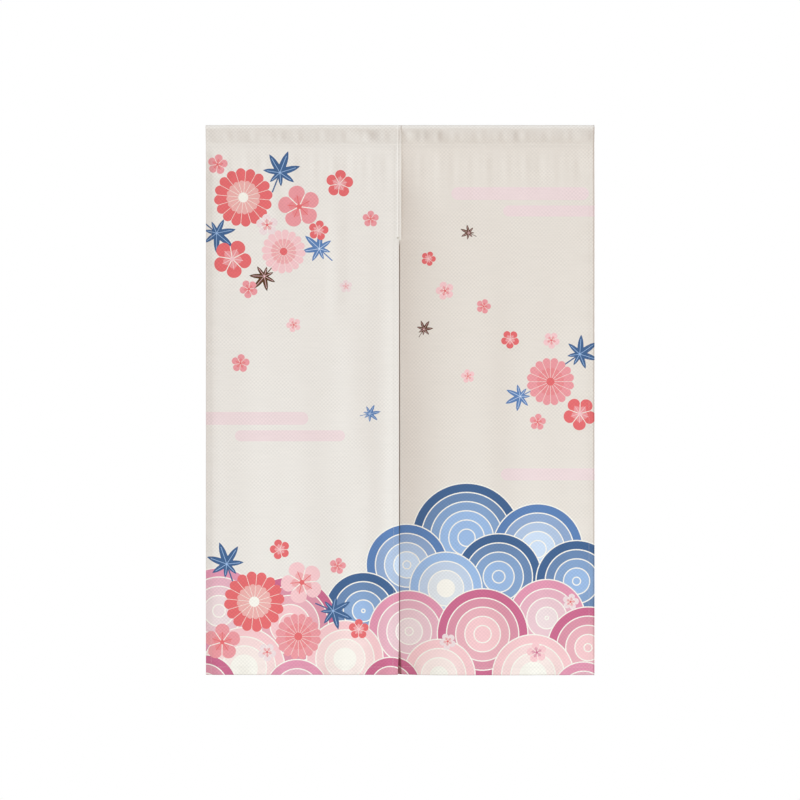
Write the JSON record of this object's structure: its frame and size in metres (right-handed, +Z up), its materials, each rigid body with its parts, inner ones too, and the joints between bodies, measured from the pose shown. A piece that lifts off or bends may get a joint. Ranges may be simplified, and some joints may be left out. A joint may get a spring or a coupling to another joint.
{
  "type": "noren curtain",
  "caption": "Two-panel split doorway curtain of printed linen-look cloth, sewn together at the top and slit below, with a rod pocket along its top edge.",
  "frame": {"origin": "middle of the top edge, at the depth of the rod's axis", "axes": "+Z up, +X to the right of someone who faces the front, -Y out of the front of the cloth"},
  "size_m": [0.8501, 0.0264, 1.2],
  "materials": {
    "printed_cloth": "matt plain-weave linen-look cloth with a printed pattern"
  },
  "bodies": {
    "root": {"left_rod_pocket": "printed_cloth", "right_rod_pocket": "printed_cloth", "left_panel": "printed_cloth", "right_panel": "printed_cloth"}
  },
  "joints": []
}
